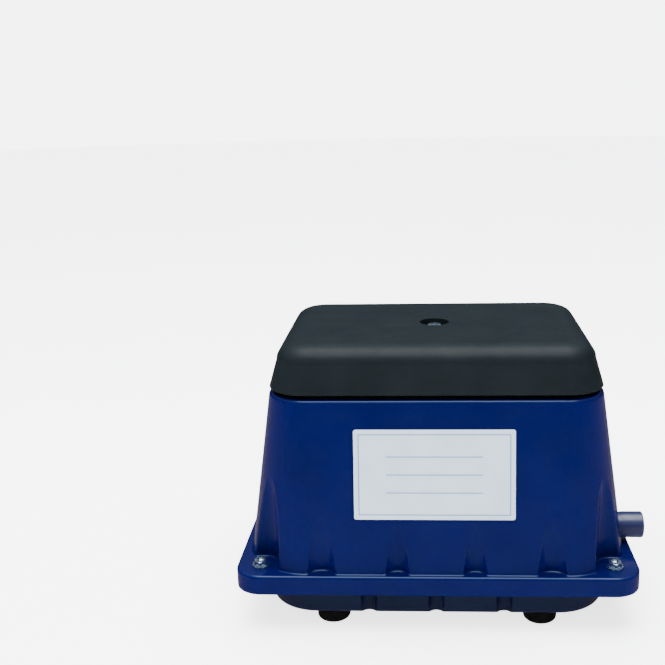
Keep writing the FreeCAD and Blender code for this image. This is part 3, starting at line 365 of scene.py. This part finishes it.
# %% [markdown]
# ### Rubbers
# Rubber is matt, dusty and slightly uneven. The feet are the darkest, hoses have a faint skin from
# the die they were drawn through, and the diaphragms are smoother than the cut gaskets.
# %% Rubbers
def rubber_relief(tree):
    return [(noise(tree, 1500, 4.0), 0.00005)]


foot_rubber = finish("foot_rubber", (0.0010, 0.0010, 0.0009), (0.0022, 0.0022, 0.0020), 260,
                     (0.62, 0.80), rubber_relief, Specular_IOR_Level=0.1)
gasket_rubber = finish("gasket_rubber", (0.015, 0.015, 0.015), (0.030, 0.030, 0.029), 300,
                       (0.65, 0.82), rubber_relief)
hose_rubber = finish("hose_rubber", (0.010, 0.010, 0.010), (0.018, 0.018, 0.018), 300,
                     (0.45, 0.60), rubber_relief)
diaphragm_rubber = finish("diaphragm_rubber", (0.012, 0.012, 0.013), (0.022, 0.022, 0.024), 200,
                          (0.50, 0.65), rubber_relief)
dress(foot_rubber, "rubber_feet", "vibration_mounts", "cover_pads", "cover_washer")
dress(gasket_rubber, "tank_gasket", "head_gaskets", "outlet_seal")
dress(hose_rubber, "hose_left", "hose_right")
dress(diaphragm_rubber, "intake_flap_left", "intake_flap_right",
      "exhaust_flap_left", "exhaust_flap_right")

# %% [markdown]
# ### Foam
# The filter is open-cell foam. A Voronoi pattern gives pores about 1 mm across, black in the middle
# of each cell and paler on the strands between them, and the same pattern sinks the pores. The
# black in the pores is painted shade.
# %% Open-cell foam
PORES = 900
PORE_DEPTH = 0.5 * MM


def cells(tree, scale):
    """The Distance of a Voronoi pattern: pores, grains and pits."""
    made = add_node(tree, "TexVoronoi", {"Scale": scale})
    tree.links.new(object_space(tree), made.inputs["Vector"])
    return made.outputs["Distance"]


foam = bpy.data.materials.new("filter_foam")
foam.use_nodes = True
foam_tree = foam.node_tree
foam_shader = foam_tree.nodes["Principled BSDF"]
foam_shader.inputs["Roughness"].default_value = 0.95
pores = cells(foam_tree, PORES)
# The black end of this run is painted shade in the pores.
strands_and_pore_shade = coloured(foam_tree, pores, (0.030, 0.030, 0.032), (0.003, 0.003, 0.003),
                   low=0.25, high=0.75)
foam_tree.links.new(strands_and_pore_shade, foam_shader.inputs["Base Color"])
foam_pit = add_node(foam_tree, "Bump", {"Strength": 1.0, "Distance": PORE_DEPTH}, invert=True)
foam_tree.links.new(pores, foam_pit.inputs["Height"])
foam_tree.links.new(foam_pit.outputs["Normal"], foam_shader.inputs["Normal"])
dress(foam, "filter_pad")

# %% [markdown]
# ### Plated and turned metal
# Zinc plating is bright with a faint cloudy mottle, and machined pieces keep fine tool lines. Both
# are the same stretched noise: squeezed along one axis, it reads as brushing instead of grain.
# %% Zinc and turned aluminium
BRUSHING = (1, 1, 0.15)


def brushed(tree):
    return [(noise(tree, 900, 3.0, BRUSHING), 0.000012)]


bright_zinc = finish("bright_zinc", (0.50, 0.62, 0.68), (0.74, 0.86, 0.92), 420,
                     (0.18, 0.28), brushed, metallic=1.0)
plate_zinc = finish("plate_zinc", (0.40, 0.42, 0.44), (0.56, 0.57, 0.58), 140,
                    (0.28, 0.42), brushed, metallic=1.0)
turned_aluminium = finish("turned_aluminium", (0.58, 0.59, 0.60), (0.68, 0.69, 0.70), 200,
                          (0.24, 0.34), brushed, metallic=1.0)
magnet_metal = finish("magnet_metal", (0.10, 0.10, 0.105), (0.17, 0.17, 0.175), 300,
                      (0.40, 0.52), brushed, metallic=0.8)
dress(bright_zinc, "corner_bolts", "lock_washers", "plain_washers", "cover_screw", "outlet_screws",
      "foot_screws", "mount_screws", "core_screws", "head_screws", "shaft_nuts", "terminal_screws",
      "hose_clips")
dress(plate_zinc, "tank_plate", "pump_frame", "diaphragm_plates", "flap_keepers")
dress(turned_aluminium, "shuttle")
dress(magnet_metal, "magnets")

# %% [markdown]
# ### Cast and laminated metal
# Bare castings keep the grain of the die with a pit here and there. The coil cores are stacks of
# thin iron sheets lying flat, so a Wave texture draws their edges as narrow level bands.
# %% Castings and cores
def cast_grain(tree):
    return [(noise(tree, 1100, 4.0), 0.00006), (cells(tree, 260), 0.00004)]


def stripes(tree, scale, direction):
    """The Fac of straight bands across one axis."""
    made = add_node(tree, "TexWave", {"Scale": scale}, bands_direction=direction)
    tree.links.new(object_space(tree), made.inputs["Vector"])
    return made.outputs["Fac"]


def laminated(tree):
    return [(stripes(tree, 480, "Z"), 0.00010), (noise(tree, 900, 3.0), 0.00002)]


cast_aluminium = finish("cast_aluminium", (0.45, 0.46, 0.47), (0.58, 0.59, 0.60), 160,
                        (0.42, 0.56), cast_grain, metallic=1.0)
core_iron = finish("core_iron", (0.12, 0.12, 0.13), (0.16, 0.16, 0.17), 180,
                   (0.38, 0.50), laminated, metallic=0.9)
dress(cast_aluminium, "head_left", "head_right", "head_cover_left", "head_cover_right")
dress(core_iron, "core_front", "core_back")

# %% [markdown]
# ### The label
# The label is a blank: a pale satin film with a thin printed border and three ruled lines. The
# border could be a separate thin mesh, but print has no thickness, so it is drawn in the material
# from the piece's own width and height. That keeps it even all round, whatever size the label has.
# %% Label film
label_film = finish("label_film", (0.34, 0.41, 0.48), (0.38, 0.45, 0.52), 60,
                    (0.34, 0.42), moulded_grain)
label_tree = label_film.node_tree
label_shader = label_tree.nodes["Principled BSDF"]
label_low, label_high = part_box("blank_label")
label_middle = (label_low + label_high) / 2
label_half = (label_high - label_low) / 2
print("label in mm:", round(label_half.x * 2 / MM, 1), "x", round(label_half.z * 2 / MM, 1))

# %% [markdown]
# A Math node does one sum at a time. Two small helpers keep the sums readable: one makes a Math
# node, and one gives the distance from the label's middle along one axis.
# %% Sums with Math nodes
def calculate(operation, first, second, third=None):
    """One Math node on the label; each value is a number or another node's socket."""
    made = add_node(label_tree, "Math", operation=operation)
    for entry, value in enumerate((first, second, third)):
        if isinstance(value, (int, float)):
            made.inputs[entry].default_value = value
        elif value is not None:
            label_tree.links.new(value, made.inputs[entry])
    return made.outputs["Value"]


def from_middle(place, middle):
    """Distance of a place from the label's middle."""
    return calculate("ABSOLUTE", calculate("SUBTRACT", place, middle), 0.0)


split = add_node(label_tree, "SeparateXYZ")
label_tree.links.new(object_space(label_tree), split.inputs["Vector"])
aside = from_middle(split.outputs["X"], label_middle.x)
upward = split.outputs["Z"]
print("the print is measured from", [round(side / MM, 1) for side in label_middle], "mm")

# %% [markdown]
# The border is where the distance to the nearest edge is about 3 mm. A Compare node gives 1 within
# half the line's width of that distance and 0 elsewhere.
# %% Printed border
PRINT_WIDTH = 0.7 * MM
BORDER_INSET = 3.2 * MM
side_gap = calculate("SUBTRACT", label_half.x, aside)
top_gap = calculate("SUBTRACT", label_half.z, from_middle(upward, label_middle.z))
edge_gap = calculate("MINIMUM", side_gap, top_gap)
ink = calculate("COMPARE", edge_gap, BORDER_INSET, PRINT_WIDTH / 2)
print("border", round(BORDER_INSET / MM, 1), "mm inside the edge")

# %% [markdown]
# Each ruled line is a Compare on the height, cut off at both ends by a Less Than on the distance
# from the middle. The larger of border and lines is the ink, which mixes a blue print colour over
# the film.
# %% Ruled lines and ink
RULE_HEIGHTS = (0.30, 0.50, 0.70)
RULE_SHARE = 0.60
INK_BLUE = (0.045, 0.16, 0.30, 1)
for share in RULE_HEIGHTS:
    rule_height = label_low.z + share * (label_high.z - label_low.z)
    rule = calculate("COMPARE", upward, rule_height, PRINT_WIDTH / 2)
    within = calculate("LESS_THAN", aside, RULE_SHARE * label_half.x)
    ink = calculate("MAXIMUM", ink, calculate("MULTIPLY", rule, within))

printed = add_node(label_tree, "Mix", data_type="RGBA")
colour_in = printed.inputs[6]
colour_over = printed.inputs[7]
colour_out = printed.outputs[2]
film_colour = label_shader.inputs["Base Color"].links[0].from_socket
label_tree.links.new(ink, printed.inputs["Factor"])
label_tree.links.new(film_colour, colour_in)
colour_over.default_value = INK_BLUE
label_tree.links.new(colour_out, label_shader.inputs["Base Color"])
dress(label_film, "blank_label")

# %% [markdown]
# ## Diaphragms
# Each end of the shuttle is held by a rubber disc: its rim is clamped in the head and stays still,
# its middle is clamped to the shuttle and slides. The dish between them rolls, so the disc is spun
# from a profile with a shallow roll in it.
# %% Sizes of the rubber disc
RUBBER_THICK = 2.5 * MM
ROLL_RISE = 1.6 * MM
CLAMP_RADIUS = 17 * MM
BORE_RADIUS = 31 * MM
ROLL_STEPS = 12
print("each disc rolls over", round((BORE_RADIUS - CLAMP_RADIUS) / MM), "mm between its clamps")

# %% [markdown]
# The middle line of the rubber is a list of radii and heights: flat where it is clamped, easing
# from one level to the other between the clamps, with a bulge that fades out towards the rim.
# %% Profile of the roll
def roll_line(hole_radius, rim_radius, middle_line, rim_line):
    """Radius and place along X of the middle of the rubber, from the hole out to the rim."""
    step = middle_line - rim_line
    outward = math.copysign(1, step)
    line = [(hole_radius, middle_line)]
    for index in range(ROLL_STEPS + 1):
        share = index / ROLL_STEPS
        ease = share * share * (3 - 2 * share)
        bulge = ROLL_RISE * math.sin(math.pi * share) * (1 - share)
        radius = CLAMP_RADIUS + share * (BORE_RADIUS - CLAMP_RADIUS)
        line.append((radius, middle_line + outward * bulge - step * ease))
    line.append((rim_radius, rim_line))
    return line


# %% [markdown]
# The profile is a closed ring of points on the upper side of the axis: out along one skin and back
# along the other. Spun a full turn with use_merge, it closes on itself, and its normals are
# recalculated at the end.
# %% Spin a disc
SPIN_STEPS = 72
SAME_PLACE = 1e-6


def spin_disc(line, axis):
    """A disc of rubber around the X axis through a point, from its middle line."""
    disc = bmesh.new()
    skins = []
    for lift in (-RUBBER_THICK / 2, RUBBER_THICK / 2):
        skins.append([disc.verts.new((x + lift, 0, axis.z + radius)) for radius, x in line])
    ring = skins[0] + skins[1][::-1]
    edges = [disc.edges.new((ring[i - 1], ring[i])) for i in range(len(ring))]
    bmesh.ops.spin(disc, geom=ring + edges, cent=axis, axis=(1, 0, 0), angle=2 * math.pi,
                   steps=SPIN_STEPS, use_merge=True)
    bmesh.ops.remove_doubles(disc, verts=disc.verts, dist=SAME_PLACE)
    bmesh.ops.recalc_face_normals(disc, faces=disc.faces)
    return disc


def add_piece(name, mesh, material, smooth_below=None):
    """Turns a bmesh into an object; edges flatter than smooth_below degrees are shaded smooth."""
    data = bpy.data.meshes.new(name)
    mesh.to_mesh(data)
    mesh.free()
    data.materials.append(material)
    if smooth_below:
        data.shade_smooth()
        data.set_sharp_from_angle(angle=math.radians(smooth_below))
    piece = bpy.data.objects.new(name, data)
    bpy.context.collection.objects.link(piece)
    return piece


# %% [markdown]
# Each disc takes its place from the solid that it replaces: the solid's box gives the two levels
# and the rim, and its nearest corner to the axis gives the hole. The blend runs from the rim's
# inner face to the clamp's.
# %% Two diaphragms
def diaphragm(side, outward):
    """The rubber disc at one end; outward is 1 on the right and -1 on the left."""
    node = "diaphragm_" + side
    lowest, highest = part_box(node)
    axis = Vector((0, 0, (lowest.z + highest.z) / 2))
    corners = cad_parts[node].data.vertices
    hole_radius = min((corner.co.yz - axis.yz).length for corner in corners)
    rim_face = lowest.x if outward > 0 else highest.x
    rim_line = rim_face + outward * RUBBER_THICK / 2
    middle_line = rim_line + outward * (highest.x - lowest.x - RUBBER_THICK)

    line = roll_line(hole_radius, (highest.z - lowest.z) / 2, middle_line, rim_line)
    disc = spin_disc(line, axis)
    piece = add_piece("rolled_" + node, disc, diaphragm_rubber, smooth_below=30)
    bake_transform(piece)
    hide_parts(node)
    print(piece.name, len(piece.data.polygons), "faces, hole", round(hole_radius / MM, 1), "mm")


diaphragm("right", 1)
diaphragm("left", -1)

# %% [markdown]
# ## Coils
# Each coil is lacquered copper wire wound turn beside turn on its former. A helix of thin tube
# would need hundreds of turns that nobody sees, so only the top layer is shaped: a rounded
# rectangle is drawn along the coil in small steps, swelling once for each turn, then folded back
# inside and bridged to where it began.
# %% Copper and the sizes of the coils
WIRE_THICK = 1.2 * MM
WINDING_WALL = 11.5 * MM
WINDING_CORNER = 6.0 * MM
CORNER_STEPS = 6
TURN_STEPS = 4


def lacquered(tree):
    return [(noise(tree, 1800, 2.0), 0.000010)]


copper_wire = finish("copper_wire", (0.40, 0.10, 0.030), (0.54, 0.16, 0.050), 90,
                     (0.24, 0.32), lacquered, metallic=0.9)
print("one turn of wire is", round(WIRE_THICK / MM, 1), "mm thick")

# %% [markdown]
# The rounded rectangle starts as a grid of one face, stood upright and stretched to the coil's
# section. A bevel of its corners rounds them, and then the face goes and its edge stays.
# %% Rounded rectangle of a turn
def turn_outline(mesh, half, middle, start):
    """Draws the outline of a turn at one end of the coil and returns its edges."""
    bmesh.ops.create_grid(mesh, x_segments=1, y_segments=1, size=1)
    bmesh.ops.rotate(mesh, verts=mesh.verts, matrix=Matrix.Rotation(math.pi / 2, 3, "X"))
    bmesh.ops.scale(mesh, verts=mesh.verts, vec=(half.x, 1, half.z))
    bmesh.ops.translate(mesh, verts=mesh.verts, vec=(middle.x, start, middle.z))
    bmesh.ops.bevel(mesh, geom=mesh.verts[:], offset=WINDING_CORNER, segments=CORNER_STEPS,
                    profile=0.5, affect="VERTICES", material=-1)
    bmesh.ops.delete(mesh, geom=mesh.faces[:], context="FACES_ONLY")
    return mesh.edges[:]


# %% [markdown]
# Two moves make the rest: the open ring is extruded a step along the coil, and the new corners are
# scaled towards or away from the coil's middle.
# %% Extrude and resize a ring
def resize(mesh, corners, middle, old, new):
    """Scales a ring of the coil from one half width and half height to another."""
    vec = (new[0] / old[0], 1, new[1] / old[1])
    bmesh.ops.scale(mesh, verts=corners, vec=vec, space=Matrix.Translation(-middle))


def next_ring(mesh, ring, along):
    """Extrudes the open ring along the coil; returns its new edges and corners."""
    grown = bmesh.ops.extrude_edge_only(mesh, edges=ring)["geom"]
    corners = [part for part in grown if isinstance(part, bmesh.types.BMVert)]
    edges = [part for part in grown if isinstance(part, bmesh.types.BMEdge)]
    bmesh.ops.translate(mesh, verts=corners, vec=(0, along, 0))
    return edges, corners


# %% [markdown]
# The turns follow each other from one end to the other. The last ring shrinks to the hole, runs
# back inside and is bridged to the first, so the coil is one closed shape.
# %% Two coils
def wound_coil(side):
    """The coil on one side; side is 'front' or 'back'."""
    node = "winding_" + side
    lowest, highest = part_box(node)
    middle = (lowest + highest) / 2
    half = (highest - lowest) / 2
    turns = round(2 * half.y / WIRE_THICK)
    step = 2 * half.y / turns / TURN_STEPS

    coil = bmesh.new()
    first = ring = turn_outline(coil, half, middle, lowest.y)
    size = groove = (half.x - WIRE_THICK / 2, half.z - WIRE_THICK / 2)
    resize(coil, coil.verts[:], middle, (half.x, half.z), groove)
    for index in range(1, turns * TURN_STEPS + 1):
        swell = WIRE_THICK / 2 * math.sin(math.pi * (index % TURN_STEPS) / TURN_STEPS)
        grown = (groove[0] + swell, groove[1] + swell)
        ring, corners = next_ring(coil, ring, step)
        resize(coil, corners, middle, size, grown)
        size = grown

    ring, corners = next_ring(coil, ring, 0)
    resize(coil, corners, middle, size, (half.x - WINDING_WALL, half.z - WINDING_WALL))
    ring, corners = next_ring(coil, ring, -2 * half.y)
    bmesh.ops.bridge_loops(coil, edges=first + ring)
    bmesh.ops.recalc_face_normals(coil, faces=coil.faces)
    piece = add_piece("wound_coil_" + side, coil, copper_wire, smooth_below=70)
    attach(piece, "casing")
    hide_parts(node)
    print(piece.name, turns, "turns,", len(piece.data.polygons), "faces")


for side in ("front", "back"):
    wound_coil(side)

# %% [markdown]
# ## Floor
# The pump stands on a sheet of white paper that runs far past the view. The paper glows a little,
# like a light table, so it stays white under the pump, and it is hidden from glossy rays to keep
# the enamel dark.
# %% Paper floor
PAPER_GLOW = (0.97, 0.98, 1.0, 1.0)
PAPER_RADIUS = 6.0

paper = bmesh.new()
bmesh.ops.create_circle(paper, cap_ends=True, segments=64, radius=PAPER_RADIUS)
floor_paper = finish("floor_paper", (0.86, 0.865, 0.87), (0.88, 0.885, 0.89), 3, (0.7, 0.8),
                     rubber_relief, Emission_Color=PAPER_GLOW, Emission_Strength=2.7)
floor = add_piece("studio_floor", paper, floor_paper)
floor.visible_glossy = False
floor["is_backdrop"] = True
print(floor.name, "is", round(floor.dimensions.x, 1), "m across")

# %% [markdown]
# ## Sizes
# The box of the finished model is measured again, and the last line prints how far its corners
# moved from the box of the hard pieces it was built around.
# %% Sizes before and after
box_at_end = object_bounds()
growth = [(new - old).length / MM for new, old in zip(box_at_end, box_at_load)]
print("the box's corners moved by", [round(side, 2) for side in growth], "mm")
